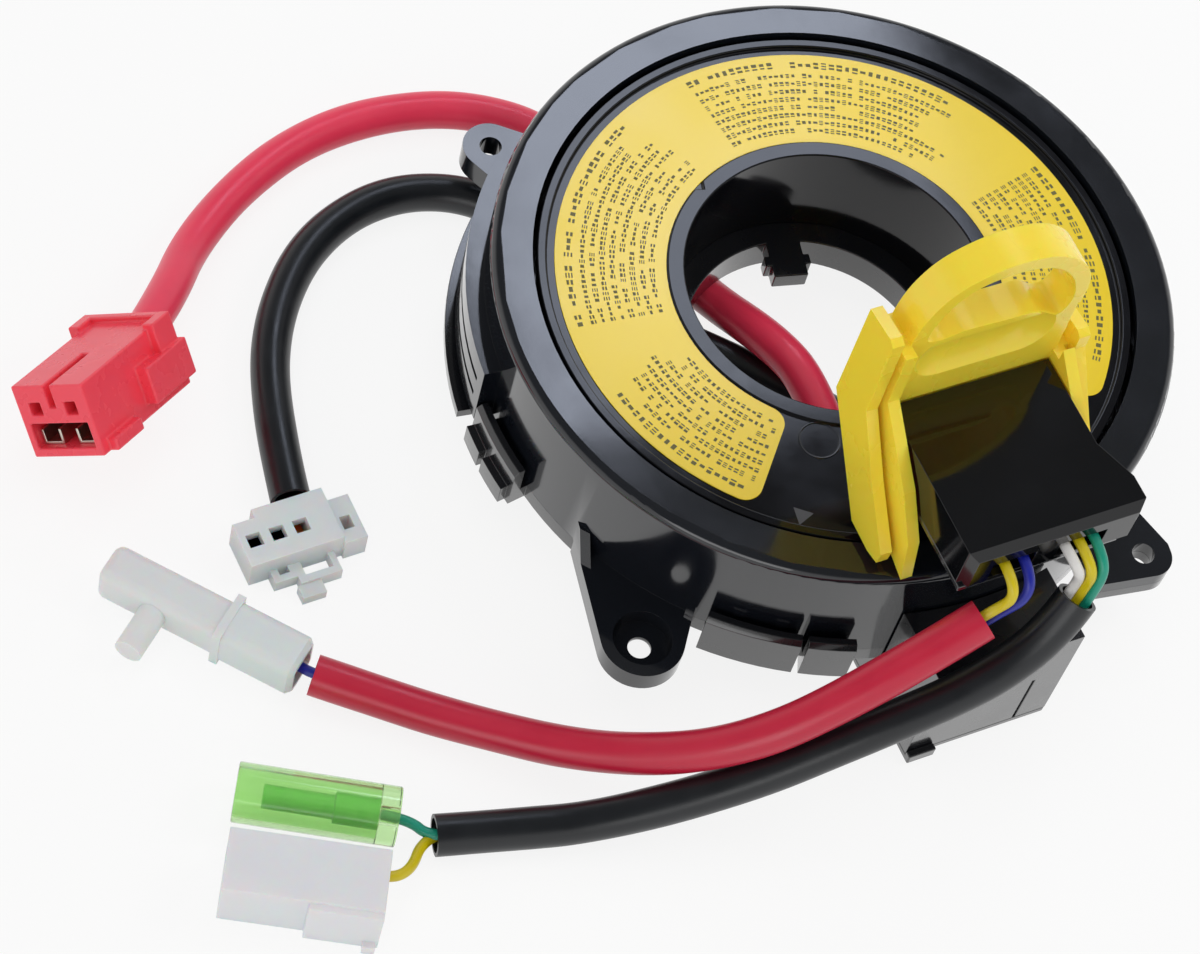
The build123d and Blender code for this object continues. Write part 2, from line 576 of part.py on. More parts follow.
def clear_connector():
    front = block(0.0, 13.0, -4.1, 4.1, 0.02, CLEAR_H)
    rear = block(13.0, CLEAR_LENGTH, -3.7, 3.7, 0.02, CLEAR_H - 0.6)
    body = fillet(front.edges().filter_by(Axis.X), 2.0)
    body = chamfer(body.edges().group_by(Axis.X)[0], 0.8)
    rear = fillet(rear.edges().filter_by(Axis.X), 2.0)
    body += fillet(rear.edges().group_by(Axis.X)[-1], 1.6)
    body += block(12.6, 14.0, -4.3, 4.3, 0.02, CLEAR_H + 0.15)
    peg = Pos(24.6, 0, 4.2) * Rot(-90, 0, 0) * extrude(Circle(2.3), 11.4)
    body += peg
    body -= block(-1, 11.0, -2.8, 2.8, 1.7, 6.5)
    pins = Compound(children=[block(6.0, 11.0, y - 1.0, y + 1.0, 3.2, 5.0) for y in (-1.6, 1.6)])
    return body, pins


def bullet():
    length = 25.2
    axis = 4.72
    outer = Pos(0, 0, axis) * Rot(0, 90, 0) * extrude(Circle(4.7), length)
    hollow = Pos(3.0, 0, axis) * Rot(0, 90, 0) * extrude(Circle(3.8), length)
    neck = Pos(-1.0, 0, axis) * Rot(0, 90, 0) * extrude(Circle(1.1), 6.0)
    core = Pos(3.0, 0, axis) * Rot(0, 90, 0) * extrude(Circle(1.9), 18.0)
    core += Pos(3.0, 0, axis) * Rot(0, 90, 0) * extrude(Circle(2.5), 7.0)
    return outer - hollow - neck, core


def two_way():
    body = block(0, 24.6, -5.2, 5.2, 0.02, 10.6)
    body += block(0, 11.4, 4.0, 6.4, 0.02, 10.2)
    body += block(0.4, 2.4, 6.0, 7.6, 0.02, 2.2)
    terminals = []
    for y in (-2.4, 2.4):
        body -= block(12.0, 25.6, y - 1.8, y + 1.8, 2.4, 8.2)
        terminals.append(block(12.0, 18.0, y - 1.2, y + 1.2, 2.4, 5.0))
    return body, Compound(children=terminals)


# connector places on the resting plane: (x, y) of the wire end, heading
# the red connector leans on its lower edge, held by its stiff lead
RED_PLACE = Plane(origin=(-103.3, 19.3, -7.1), x_dir=(-0.701, -0.641, 0.311), z_dir=(-0.229, 0.616, 0.754)).location
THREE_POSE = ((-89.4, -8.9), -80.0)
CLEAR_POSE = ((-94.6, -38.6), 138.8)
BULLET_POSE = ((-86.0, -66.8), 159.3)
TWO_WAY_POSE = ((-91.2, -79.4), 160.0)


def posed(shape, pose):
    return Pos(pose[0][0], pose[0][1], FLOOR) * Rot(0, 0, pose[1]) * shape


def lead_connectors():
    red_body, red_pins = red_connector()
    three_body, three_pins = three_way()
    clear_body, clear_pins = clear_connector()
    bullet_body, bullet_pin = bullet()
    two_body, two_pins = two_way()
    return {
        "red_connector_housing": RED_PLACE * red_body,
        "red_connector_terminals": RED_PLACE * red_pins,
        "three_way_housing": posed(three_body, THREE_POSE),
        "three_way_terminals": posed(three_pins, THREE_POSE),
        "clear_connector_housing": posed(clear_body, CLEAR_POSE),
        "clear_connector_terminals": posed(clear_pins, CLEAR_POSE),
        "bullet_sleeve": posed(bullet_body, BULLET_POSE),
        "bullet_terminal": posed(bullet_pin, BULLET_POSE),
        "two_way_housing": posed(two_body, TWO_WAY_POSE),
        "two_way_terminals": posed(two_pins, TWO_WAY_POSE),
    }


def posed_point(pose, x, y, z):
    a = math.radians(pose[1])
    return (pose[0][0] + x * math.cos(a) - y * math.sin(a), pose[0][1] + x * math.sin(a) + y * math.cos(a), FLOOR + z)


def connector_wires():
    red = mouth_points(WHEEL_RED[-1], WHEEL_RED[-2], 1, 0, lead=0.8)
    black = mouth_points(WHEEL_BLACK[-1], WHEEL_BLACK[-2], 2, 2.6, level=True)
    blue = tube([posed_point(CLEAR_POSE, 5.9, 0, 4.3), posed_point(CLEAR_POSE, 0.4, 0, 4.3), *red[0]],
                WIRE_D, "clear wire")
    teal = tube([posed_point(BULLET_POSE, 2.9, 0, 4.72), posed_point(BULLET_POSE, -1.5, 0, 4.7), *black[0]],
                WIRE_D, "teal wire")
    yellow = tube([posed_point(TWO_WAY_POSE, -0.05, -2.4, 7.0), posed_point(TWO_WAY_POSE, -2.2, -2.4, 7.0), *black[1]],
                  WIRE_D, "yellow wire")
    return {"clear_connector_wires": blue, "bullet_wire": teal, "two_way_wire": yellow}


pieces = {
    "upper_housing": upper_housing(),
    "lower_cover": lower_cover(),
    "lead_box": lead_box(),
    "lead_box_lid": lead_box_lid(),
    "outer_carrier": outer_carrier(),
    "outer_terminals": outer_terminals(),
    "inner_carrier": inner_carrier(),
    "inner_terminals": inner_terminals(),
    "ribbon_cable": ribbon_cable(),
    "rotor_plate": rotor_plate(),
    "drive_ring": drive_ring(),
    "face_label": face_label(),
    "connector_base": connector_base(),
    "connector_cover": connector_cover(),
    "lock_clip": lock_clip(),
    "column_red_sleeve": column_red_sleeve(),
    "column_black_sleeve": column_black_sleeve(),
    "wheel_red_sleeve": wheel_red_sleeve(),
    "wheel_black_sleeve": wheel_black_sleeve(),
}
pieces.update(block_wires())
pieces.update(lead_connectors())
pieces.update(connector_wires())

for name, shape in pieces.items():
    save(shape, name)
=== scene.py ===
import math
import bmesh
import bpy
from mathutils import Matrix, Vector


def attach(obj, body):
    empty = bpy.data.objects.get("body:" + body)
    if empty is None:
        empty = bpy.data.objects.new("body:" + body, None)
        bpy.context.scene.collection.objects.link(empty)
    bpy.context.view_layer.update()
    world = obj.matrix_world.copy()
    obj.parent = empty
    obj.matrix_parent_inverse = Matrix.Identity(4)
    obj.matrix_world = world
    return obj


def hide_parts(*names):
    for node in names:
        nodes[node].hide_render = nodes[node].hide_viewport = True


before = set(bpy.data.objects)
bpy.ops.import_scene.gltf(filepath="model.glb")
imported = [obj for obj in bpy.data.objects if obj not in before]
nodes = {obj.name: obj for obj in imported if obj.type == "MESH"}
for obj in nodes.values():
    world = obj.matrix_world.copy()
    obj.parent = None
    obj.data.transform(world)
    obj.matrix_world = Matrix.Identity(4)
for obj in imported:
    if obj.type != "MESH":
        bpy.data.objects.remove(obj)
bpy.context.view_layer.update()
scene = bpy.context.scene
MM = 0.001
BLOCK_TURN = math.radians(8.6)      # the block stands turned this far about the hub
FLOOR_LEVEL = -10.05                # just under the resting plane, in mm


# ---------------------------------------------------------------- small helpers

def linear(code):
    """An sRGB hex value as a linear colour."""
    parts = [int(code[k:k + 2], 16) / 255 for k in (0, 2, 4)]
    return tuple(c / 12.92 if c <= 0.04045 else ((c + 0.055) / 1.055) ** 2.4 for c in parts) + (1.0,)


def add(tree, kind, settings=None, inputs=None):
    """Adds a node with its settings; each input is a number, a colour or another node's output."""
    made = tree.nodes.new(kind)
    for name, value in (settings or {}).items():
        setattr(made, name, value)
    for name, value in (inputs or {}).items():
        if isinstance(value, bpy.types.NodeSocket):
            tree.links.new(value, made.inputs[name])
        else:
            made.inputs[name].default_value = value
    return made


def rotor_point(w, u, z):
    """A point given across and out from the turning block, in the row frame, in mm."""
    c, s = math.cos(BLOCK_TURN), math.sin(BLOCK_TURN)
    return (w * c + u * s, w * s - u * c, z)


def collect(name, mesh, material=None):
    made = bpy.data.objects.new(name, mesh)
    scene.collection.objects.link(made)
    if material:
        mesh.materials.clear()
        mesh.materials.append(material)
    return made


def flattened(obj):
    """The object's mesh with its modifiers applied, as a new plain mesh."""
    bpy.context.view_layer.update()
    shown = obj.evaluated_get(bpy.context.evaluated_depsgraph_get())
    return bpy.data.meshes.new_from_object(shown)


# ---------------------------------------------------------------- camera, light and floor

camera = bpy.data.objects.new("camera", bpy.data.cameras.new("camera"))
scene.collection.objects.link(camera)
scene.camera = camera
camera.data.lens = 105.46
camera.data.sensor_width = 36.0
camera.data.clip_start = 0.05
camera.data.clip_end = 20.0
turn = Matrix.Rotation(math.radians(-30.4), 4, "Z") @ Matrix.Rotation(math.radians(33.086), 4, "X")
camera.matrix_world = (Matrix.Translation(Vector((-197.67, -283.95, 476.70)) * MM)
                       @ turn @ Matrix.Rotation(math.radians(17.623), 4, "Z"))


def panel(name, place, target, width, height, power, colour):
    """A soft box: an area lamp that faces the target."""
    lamp = bpy.data.lights.new(name, "AREA")
    lamp.shape = "RECTANGLE"
    lamp.size, lamp.size_y = width, height
    lamp.energy = power
    lamp.color = linear(colour)[:3]
    made = bpy.data.objects.new(name, lamp)
    scene.collection.objects.link(made)
    made.location = place
    made.rotation_euler = (Vector(target) - Vector(place)).to_track_quat("-Z", "Y").to_euler()
    return made


panel("window_soft_box", (0.215, 0.42, 0.60), (0.215, 0.42, 0.0), 0.19, 0.22, 0.72, "e2ebff")
overhead = panel("overhead_fill", (-0.25, 0.1, 1.3), (0, 0, 0), 1.3, 1.3, 5.6, "ffffff")
overhead.visible_glossy = False
right = panel("right_fill", (0.26, -0.06, 0.34), (0.03, -0.03, 0.04), 0.2, 0.2, 0.42, "ffffff")
right.visible_glossy = False
panel("front_fill", (-0.55, -0.75, 0.35), (0, 0, 0.01), 0.6, 0.35, 1.2, "ffffff")

# a white room that darkens overhead, so upward faces stay deep and low ones mirror the pale surroundings
world = bpy.data.worlds.new("white_room")
scene.world = world
world.use_nodes = True
sky = world.node_tree
sky.nodes.clear()
rays = add(sky, "ShaderNodeLightPath")
seen = add(sky, "ShaderNodeMath", {"operation": "MAXIMUM"},
           {0: rays.outputs["Is Camera Ray"], 1: rays.outputs["Is Transmission Ray"]})
ray = add(sky, "ShaderNodeTexCoord")
height = add(sky, "ShaderNodeSeparateXYZ", None, {0: ray.outputs["Generated"]})
fade = add(sky, "ShaderNodeMapRange", {"interpolation_type": "SMOOTHSTEP"}, {
    "Value": height.outputs["Z"], "From Min": 0.30, "From Max": 0.72, "To Min": 0.92, "To Max": 0.16})
level = add(sky, "ShaderNodeMix", {"data_type": "FLOAT"}, {0: seen.outputs[0], 2: fade.outputs["Result"],
                                                           3: 1.0})
room = add(sky, "ShaderNodeBackground", None, {"Color": linear("ffffff"), "Strength": level.outputs[0]})
add(sky, "ShaderNodeOutputWorld", None, {"Surface": room.outputs[0]})

scene.view_settings.view_transform = "Standard"


def floor_material():
    """Matt white paper sweep: bright to the eye, with the object's soft shadow left in it."""
    made = bpy.data.materials.new("matt_white_paper")
    made.use_nodes = True
    tree = made.node_tree
    tree.nodes.clear()
    rays = add(tree, "ShaderNodeLightPath")
    seen = add(tree, "ShaderNodeMath", {"operation": "MAXIMUM"},
               {0: rays.outputs["Is Camera Ray"], 1: rays.outputs["Is Glossy Ray"]})
    seen = add(tree, "ShaderNodeMath", {"operation": "MAXIMUM"},
               {0: seen.outputs[0], 1: rays.outputs["Is Transmission Ray"]})
    share = add(tree, "ShaderNodeMath", {"operation": "MULTIPLY"}, {0: seen.outputs[0], 1: 0.86})
    paper = add(tree, "ShaderNodeBsdfDiffuse", None, {"Color": linear("f2f2f0")})
    glow = add(tree, "ShaderNodeEmission", None, {"Color": linear("ffffff"), "Strength": 1.0})
    mixed = add(tree, "ShaderNodeMixShader", None, {0: share.outputs[0], 1: paper.outputs[0],
                                                    2: glow.outputs[0]})
    add(tree, "ShaderNodeOutputMaterial", None, {"Surface": mixed.outputs[0]})
    return made


sweep = bmesh.new()
for x, y in ((-3, -3), (3, -3), (3, 3), (-3, 3)):
    sweep.verts.new((x, y, FLOOR_LEVEL * MM))
sweep.faces.new(sweep.verts)
floor_mesh = bpy.data.meshes.new("floor")
sweep.to_mesh(floor_mesh)
collect("floor", floor_mesh, floor_material())


# ---------------------------------------------------------------- materials

def plastic(name, colour, roughness, ior=1.5, mottle=0.06, mottle_mm=9.0, grain_mm=0.9, grain_height=0.012,
            transmission=0.0, scatter=0.0, scatter_mm=1.0, coat=0.0):
    """A moulded plastic: colour drifts a little with the flow, roughness with it, and a faint mould grain lies on top."""
    made = bpy.data.materials.new(name)
    made.use_nodes = True
    tree = made.node_tree
    tree.nodes.clear()
    place = add(tree, "ShaderNodeTexCoord").outputs["Object"]
    flow = add(tree, "ShaderNodeTexNoise", None, {"Vector": place, "Scale": 1 / (mottle_mm * MM),
                                                  "Detail": 3.0, "Roughness": 0.55})
    base = linear(colour)
    dark = tuple(c * (1 - mottle) for c in base[:3]) + (1.0,)
    light = tuple(min(1.0, c * (1 + mottle) + 0.004 * mottle) for c in base[:3]) + (1.0,)
    tint = add(tree, "ShaderNodeMix", {"data_type": "RGBA"}, {0: flow.outputs["Fac"], 6: dark, 7: light})
    rough = add(tree, "ShaderNodeMapRange", None, {"Value": flow.outputs["Fac"], "From Min": 0.3,
                                                   "From Max": 0.7,
                                                  "To Min": max(0.02, roughness - 0.05),
                                                  "To Max": roughness + 0.05})
    grain = add(tree, "ShaderNodeTexNoise", None, {"Vector": place, "Scale": 1 / (grain_mm * MM),
                                                   "Detail": 2.0})
    bump = add(tree, "ShaderNodeBump", None, {"Height": grain.outputs["Fac"], "Strength": 0.35,
                                              "Distance": grain_height * MM})
    body = add(tree, "ShaderNodeBsdfPrincipled", None, {
        "Base Color": tint.outputs[2], "Roughness": rough.outputs["Result"], "IOR": ior,
        "Normal": bump.outputs["Normal"],
        "Transmission Weight": transmission, "Subsurface Weight": scatter,
        "Subsurface Scale": scatter_mm * MM,
        "Coat Weight": coat, "Coat Roughness": 0.08})
    add(tree, "ShaderNodeOutputMaterial", None, {"Surface": body.outputs[0]})
    return made


def metal(name, colour, roughness, scratch_mm=0.35):
    """A rolled and stamped metal: fine brushed lines break up its highlight."""
    made = bpy.data.materials.new(name)
    made.use_nodes = True
    tree = made.node_tree
    tree.nodes.clear()
    place = add(tree, "ShaderNodeTexCoord").outputs["Object"]
    lines = add(tree, "ShaderNodeMapping", None, {"Vector": place, "Scale": (1.0, 1.0, 6.0)})
    brush = add(tree, "ShaderNodeTexNoise", None, {"Vector": lines.outputs[0],
                                                   "Scale": 1 / (scratch_mm * MM), "Detail": 2.0})
    rough = add(tree, "ShaderNodeMapRange", None, {"Value": brush.outputs["Fac"], "To Min": roughness - 0.08,
                                                   "To Max": roughness + 0.1})
    bump = add(tree, "ShaderNodeBump", None, {"Height": brush.outputs["Fac"], "Strength": 0.3,
                                              "Distance": 0.01 * MM})
    body = add(tree, "ShaderNodeBsdfPrincipled", None, {"Base Color": linear(colour), "Metallic": 1.0,
               "Roughness": rough.outputs["Result"], "Normal": bump.outputs["Normal"]})
    add(tree, "ShaderNodeOutputMaterial", None, {"Surface": body.outputs[0]})
    return made


# polished mould, so the face gives long soft reflections
gloss_abs = plastic("gloss_black_abs", "13161c", 0.11, coat=0.5, mottle=0.3, mottle_mm=14.0,
                    grain_mm=1.6, grain_height=0.008)
# the turning plate is plain polished
plate_abs = plastic("plate_black_abs", "0a0b10", 0.10, ior=1.42, mottle=0.25, mottle_mm=14.0,
                    grain_mm=1.6, grain_height=0.006)
# the block cover comes off a mirror-finished mould
polished_abs = plastic("polished_black_abs", "08090c", 0.07, mottle=0.2, mottle_mm=18.0, grain_mm=2.5,
                       grain_height=0.003)
# glass-filled and matter, so its highlights spread
satin_pbt = plastic("satin_black_pbt", "121317", 0.26, coat=1.0, mottle=0.3, mottle_mm=8.0,
                    grain_mm=0.7, grain_height=0.02)
# printed film under a clear skin
label_film = plastic("printed_polyester_film", "f4d424", 0.20, mottle=0.05, mottle_mm=22.0,
                     grain_mm=0.5, grain_height=0.003)
label_ink = plastic("printed_ink", "6b652c", 0.42, mottle=0.12, mottle_mm=6.0, grain_mm=0.4,
                    grain_height=0.003)
# the pale grey pad print on the plate
pad_print = plastic("grey_pad_print", "4a4b50", 0.45, mottle=0.15, mottle_mm=3.0, grain_mm=0.4,
                    grain_height=0.003)
# waxy acetal lets a little light in, so its shade stays warm
clip_pom = plastic("yellow_acetal", "ffe042", 0.26, mottle=0.03, mottle_mm=12.0, scatter=0.45,
                   scatter_mm=2.2, grain_mm=1.0, grain_height=0.006)
sleeve_red = plastic("crimson_pvc_sleeve", "c61c3c", 0.34, ior=1.53, mottle=0.08, mottle_mm=7.0,
                     scatter=0.1, grain_mm=1.2, grain_height=0.02)
# painted light: a lighter copy of the crimson sleeve, whose brighter colour stands in for the light falling on the
# column lead's sleeve
sleeve_red_painted_lit = plastic("crimson_pvc_sleeve_painted_light", "f63d5c", 0.34, ior=1.53, mottle=0.08,
                      mottle_mm=7.0, scatter=0.1, grain_mm=1.2, grain_height=0.02)
sleeve_black = plastic("black_pvc_sleeve", "14171b", 0.33, ior=1.53, mottle=0.25, mottle_mm=5.0,
                       grain_mm=1.1, grain_height=0.03)
wire_skins = {
    "yellow": plastic("yellow_pvc_wire", "d8c312", 0.32, ior=1.53, mottle_mm=4.0),
    "blue": plastic("blue_pvc_wire", "14209a", 0.32, ior=1.53, mottle_mm=4.0),
    "white": plastic("white_pvc_wire", "e8e6e2", 0.32, ior=1.53, mottle_mm=4.0),
    "green": plastic("green_pvc_wire", "189a80", 0.32, ior=1.53, mottle_mm=4.0),
}
red_nylon = plastic("red_nylon", "ff4a5c", 0.28, mottle=0.05, mottle_mm=6.0, scatter=0.25,
                    scatter_mm=1.2, grain_mm=0.6, grain_height=0.012)
white_nylon = plastic("natural_nylon", "e9eaed", 0.36, mottle=0.02, mottle_mm=6.0, scatter=0.5,
                      scatter_mm=2.5, grain_mm=0.6, grain_height=0.01)
frosted_nylon = plastic("frosted_nylon", "e4e8e8", 0.40, mottle=0.02, mottle_mm=6.0, scatter=0.6,
                        scatter_mm=3.5, grain_mm=0.6, grain_height=0.01)
green_vinyl = plastic("clear_green_vinyl", "cdf2b4", 0.10, ior=1.45, mottle=0.03, mottle_mm=6.0,
                      transmission=0.9, grain_mm=1.4, grain_height=0.02)
green_crimp = plastic("green_crimp_skin", "6fd044", 0.3, mottle_mm=3.0, grain_mm=0.5)
ribbon_film = plastic("polyester_ribbon", "caa24a", 0.30, mottle=0.05, mottle_mm=5.0)
brass = metal("stamped_brass", "cfa95a", 0.30)
tin = metal("tinned_brass", "c9c4b8", 0.32)


# ---------------------------------------------------------------- moulded pieces, from the frame's own shapes

def softened(name, material, width_mm, body, flat=False):
    """A copy of a CAD node with the small rounded edges that a mould leaves, standing in for it."""
    mesh = nodes[name].data.copy()
    work = bmesh.new()
    work.from_mesh(mesh)
    bmesh.ops.remove_doubles(work, verts=work.verts, dist=2e-6)
    bmesh.ops.dissolve_limit(work, angle_limit=math.radians(0.6), verts=work.verts, edges=work.edges)
    for face in work.faces:
        face.smooth = not flat
    work.to_mesh(mesh)
    work.free()
    draft = collect(name + "_draft", mesh)
    edge = draft.modifiers.new("edge", "BEVEL")
    edge.width = width_mm * MM
    edge.segments = 2
    edge.limit_method = "ANGLE"
    edge.angle_limit = math.radians(35)
    edge.use_clamp_overlap = True
    edge.harden_normals = False
    flow = draft.modifiers.new("flow", "WEIGHTED_NORMAL")
    flow.keep_sharp = True
    made = collect(name + "_finished", flattened(draft), material)
    bpy.data.objects.remove(draft)
    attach(made, body)
    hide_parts(name)
    return made


# node, material, edge width in mm, body, slot
FINISHED = [
    ("upper_housing", gloss_abs, 0.35, "housing", "black_gloss"),
    ("lower_cover", satin_pbt, 0.3, "housing", "black_gloss"),
    ("lead_box", satin_pbt, 0.35, "housing", "black_satin"),
    ("lead_box_lid", satin_pbt, 0.25, "housing", "black_satin"),
    ("rotor_plate", plate_abs, 0.25, "rotor", "black_gloss"),
    ("drive_ring", satin_pbt, 0.25, "rotor", "black_gloss"),
    ("face_label", label_film, 0.03, "rotor", "label"),
    ("connector_base", satin_pbt, 0.2, "rotor", "black_satin"),
    ("connector_cover", polished_abs, 0.25, "rotor", "black_gloss"),
    ("lock_clip", clip_pom, 0.8, "clip", "clip_yellow"),
    ("red_connector_housing", red_nylon, 0.3, "housing", "connector_red"),
    ("three_way_housing", frosted_nylon, 0.25, "housing", "connector_white"),
    ("clear_connector_housing", frosted_nylon, 0.3, "housing", "connector_white"),
    ("two_way_housing", white_nylon, 0.35, "housing", "connector_white"),
    ("bullet_sleeve", green_vinyl, 0.25, "housing", "sleeve_clear_green"),
    ("red_connector_terminals", tin, 0.12, "housing", "brass"),
    ("three_way_terminals", brass, 0.12, "housing", "brass"),
    ("clear_connector_terminals", brass, 0.12, "housing", "brass"),
    ("two_way_terminals", brass, 0.12, "housing", "brass"),
    ("bullet_terminal", green_crimp, 0.2, "housing", "brass"),
]
# boxy pieces, whose sides keep flat shading
FLAT_SIDED = ("connector_cover", "connector_base", "lead_box", "lead_box_lid", "red_connector_housing")
finished = {name: softened(name, material, width, body, flat=name in FLAT_SIDED)
            for name, material, width, body, slot in FINISHED}


# ---------------------------------------------------------------- leads

def route(name, points, order=3):
    """A lead's line: one smooth spline through its settled points, given in mm."""
    curve = bpy.data.curves.new(name, "CURVE")
    curve.dimensions = "3D"
    curve.resolution_u = 16
    spline = curve.splines.new("NURBS")
    spline.points.add(len(points) - 1)
    for point, (x, y, z) in zip(spline.points, points):
        point.co = (x * MM, y * MM, z * MM, 1.0)
    spline.order_u = order
    spline.use_endpoint_u = True
    return collect(name, curve)


def line_of(curve_object):
    """The spline's own points, read from its unbevelled curve."""
    mesh = flattened(curve_object)
    points = [v.co.copy() for v in mesh.vertices]
    bpy.data.meshes.remove(mesh)
    return points


def sleeve(name, points, body, node, material):
    """A vinyl sleeve with a real wall and open mouths, swept along its line with a slight hand-worked unevenness."""
    line_object = route(name + "_line", points)
    line = line_of(line_object)
    bpy.data.objects.remove(line_object)
    work = bmesh.new()
    side = (line[1] - line[0]).orthogonal().normalized()
    rings = []
    travelled = 0.0
    sides = 28                  # facets around the sleeve
    for k, here in enumerate(line):
        ahead = (line[min(k + 1, len(line) - 1)] - line[max(k - 1, 0)]).normalized()
        side = (side - ahead * side.dot(ahead)).normalized()
        up = ahead.cross(side)
        if k:
            travelled += (here - line[k - 1]).length
        swell = 1 + 0.008 * math.sin(travelled / (7.3 * MM)) + 0.006 * math.sin(travelled / (2.9 * MM) + 1.3)
        pair = []
        for radius in (SLEEVE_D / 2 * swell, MOUTH_R):
            pair.append([work.verts.new(here + (side * math.cos(a) + up * math.sin(a)) * radius * MM)
                         for a in (math.tau * j / sides for j in range(sides))])
        rings.append(pair)
    for before, after in zip(rings, rings[1:]):
        for j in range(sides):
            n = (j + 1) % sides
            work.faces.new((before[0][j], before[0][n], after[0][n], after[0][j]))
            work.faces.new((before[1][n], before[1][j], after[1][j], after[1][n]))
    for pair, order in ((rings[0], 1), (rings[-1], -1)):
        for j in range(sides):
            n = (j + 1) % sides
            work.faces.new((pair[0][n], pair[0][j], pair[1][j], pair[1][n])[::order])
    bmesh.ops.recalc_face_normals(work, faces=work.faces)
    for face in work.faces:
        face.smooth = True
    for edge in work.edges:
        if len(edge.link_faces) == 2 and edge.calc_face_angle() > MOUTH_EDGE_ANGLE:
            edge.smooth = False
    mesh = bpy.data.meshes.new(name)
    work.to_mesh(mesh)
    work.free()
    made = collect(name, mesh, material)
    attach(made, body)
    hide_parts(node)
    return made


def thin_wire(name, points, node, colour, body, order=3):
    """One insulated wire, drawn along its own short line."""
    curve = route(name + "_line", points, order)
    curve.data.bevel_depth = WIRE_D / 2 * MM
    curve.data.bevel_resolution = 5
    curve.data.use_fill_caps = True
    made = collect(name, flattened(curve), wire_skins[colour])
    bpy.data.objects.remove(curve)
    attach(made, body)
    if node:
        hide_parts(node)
    return made


SLEEVE_D = 6.6
MOUTH_R = 2.7            # inner radius of a sleeve, in mm
MOUTH_EDGE_ANGLE = 1.0   # radians; a steeper edge than this is the mouth's rim and stays sharp
WIRE_D = 1.7
REST = -6.68             # height of a resting sleeve's line
WHEEL_RED = [(0.6, -67.7, 31.0), (-16.6, -71.7, 22.3), (-35.5, -72.4, 10.0), (-53.4, -63.9, -2.3),
             (-73.7, -51.4, REST), (-85.0, -44.8, REST + 0.3), (-93.2, -40.2, REST + 1.0)]
WHEEL_BLACK = [(15.8, -67.4, 32.5), (12.2, -70.0, 26.4), (2.0, -72.8, 19.6), (-14.0, -74.8, 14.5),
               (-34.7, -75.1, 3.0), (-55.6, -73.4, -5.3), (-70.0, -71.4, REST), (-81.0, -70.2, REST)]
COLUMN_RED = [rotor_point(-1.0, 46.0, REST), rotor_point(-1.0, 24.5, REST), (-0.8, -5.4, 1.0),
              (-4.2, 3.6, 1.0), (-12.0, 21.5, REST), (-20.5, 40.0, REST), (-28.5, 57.5, REST),
              (-42.0, 64.8, REST), (-58.0, 65.6, REST), (-72.5, 61.6, REST), (-85.0, 53.4, REST),
              (-95.2, 43.0, -6.3), (-101.7, 30.9, -2.0), (-107.4, 22.9, 0.6)]
COLUMN_BLACK = [rotor_point(9.0, 46.0, REST), rotor_point(9.0, 36.0, REST), (13.2, -21.5, REST),
                (7.0, -9.5, REST), (-7.5, 4.0, REST), (-21.0, 14.5, REST), (-31.0, 30.0, REST),
                (-42.5, 45.8, REST), (-59.0, 49.4, REST), (-74.6, 41.8, REST), (-84.8, 26.8, REST),
                (-89.0, 9.5, REST), (-89.4, -8.0, REST)]


def mouth_spot(end, inside, out, across, rise):
    """A point near a sleeve's mouth, in mm: so far out of it, to the side, and above its line."""
    origin = Vector(end)
    outward = (origin - Vector(inside)).normalized()
    sideways = Vector((-outward.y, outward.x, 0)).normalized()
    return tuple(origin + outward * out + sideways * across + outward.cross(sideways) * rise)


def block_wire(name, w, bulge, mouth, across, rise, node, colour):
    end, inside = mouth[0], mouth[1]
    return thin_wire(name, [rotor_point(w, 61.0, 40.4), rotor_point(w, 64.0 + bulge, 40.5),
                            mouth_spot(end, inside, 3.4, across, rise), mouth_spot(end, inside, 0.0, across,
                                                                                   rise),
                            mouth_spot(end, inside, -5.5, across, rise)], node, colour, "rotor",
                            order=4)


red_wires = [
    block_wire("wire_yellow_left_run", -6.7, 5.2, WHEEL_RED, 0.0, 1.2, "wire_yellow_left", "yellow"),
    block_wire("wire_blue_run", -3.4, 5.6, WHEEL_RED, 0.0, -1.2, "wire_blue", "blue"),
]
black_wires = [
    block_wire("wire_white_run", 3.7, 4.6, WHEEL_BLACK, 1.35, 0.75, "wire_white", "white"),
    block_wire("wire_yellow_right_run", 6.2, 5.0, WHEEL_BLACK, 0.0, 0.0, "wire_yellow_right", "yellow"),
    block_wire("wire_green_run", 8.8, 4.6, WHEEL_BLACK, -1.35, -0.75, "wire_green", "green"),
]


def connector_point(pose, x, y, z):
    """A point in a lead connector's own frame, whose origin is its wire end on the resting plane."""
    (px, py), heading = pose
    a = math.radians(heading)
    return (px + x * math.cos(a) - y * math.sin(a), py + x * math.sin(a) + y * math.cos(a), z - 10.0)


CLEAR_POSE = ((-94.6, -38.6), 138.8)
BULLET_POSE = ((-86.0, -66.8), 159.3)
TWO_WAY_POSE = ((-91.2, -79.4), 160.0)

